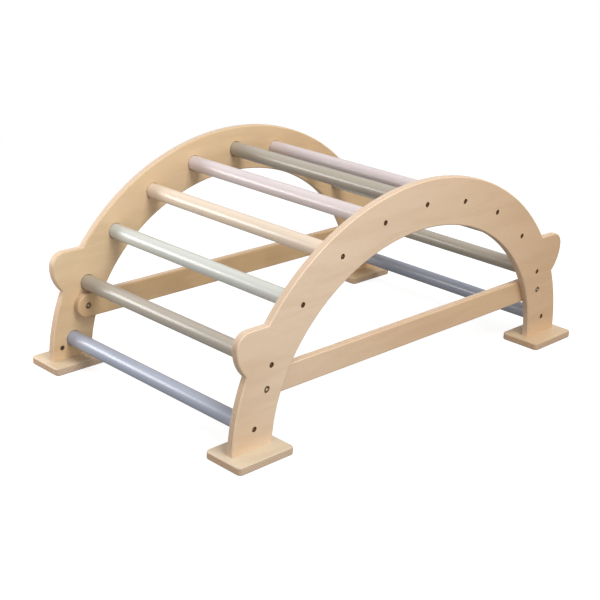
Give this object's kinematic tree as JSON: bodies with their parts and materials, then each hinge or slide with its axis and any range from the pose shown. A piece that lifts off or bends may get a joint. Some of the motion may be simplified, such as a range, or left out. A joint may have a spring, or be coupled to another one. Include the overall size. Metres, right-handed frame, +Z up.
{
  "type": "wooden rocker arch",
  "caption": "Arched plywood frame for a child to climb over or, turned over, to rock in, with painted round rungs between two arched side panels, low stretcher rails and flat foot plates.",
  "frame": {"origin": "on the floor, midway between the four foot plates, under the middle of the crown rung", "axes": "+X along the arch from the left leg to the right leg, +Y from the front side panel to the back one, +Z up from the floor"},
  "size_m": [0.953, 0.603, 0.4139],
  "materials": {
    "birch_plywood": "pale birch plywood under a clear satin lacquer, with rounded edges",
    "paint_slate_blue": "turned hardwood under satin slate blue paint",
    "paint_taupe": "turned hardwood under satin taupe paint",
    "paint_sage": "turned hardwood under satin sage paint",
    "paint_peach": "turned hardwood under satin peach paint",
    "paint_lilac": "turned hardwood under satin lilac paint",
    "bronzed_steel": "dark bronze plating, satin",
    "zinc_steel": "bright zinc plating, satin"
  },
  "bodies": {
    "root": {"side_panel_front": "birch_plywood", "side_panel_back": "birch_plywood", "rung_01": "paint_slate_blue", "rung_02": "paint_taupe", "rung_03": "paint_sage", "rung_04": "paint_peach", "rung_05": "paint_lilac", "rung_06": "paint_taupe", "rung_07": "paint_lilac", "rung_08": "paint_peach", "rung_09": "paint_sage", "rung_10": "paint_taupe", "rung_11": "paint_slate_blue", "stretcher_rail_front": "birch_plywood", "stretcher_rail_back": "birch_plywood", "foot_plate_front_left": "birch_plywood", "foot_plate_front_right": "birch_plywood", "foot_plate_back_left": "birch_plywood", "foot_plate_back_right": "birch_plywood", "rung_screws_front": "bronzed_steel", "rung_screws_back": "bronzed_steel", "rail_bolts": "zinc_steel", "rail_cap_nuts": "zinc_steel", "foot_bolts": "zinc_steel", "barrel_nuts": "zinc_steel"}
  },
  "joints": []
}
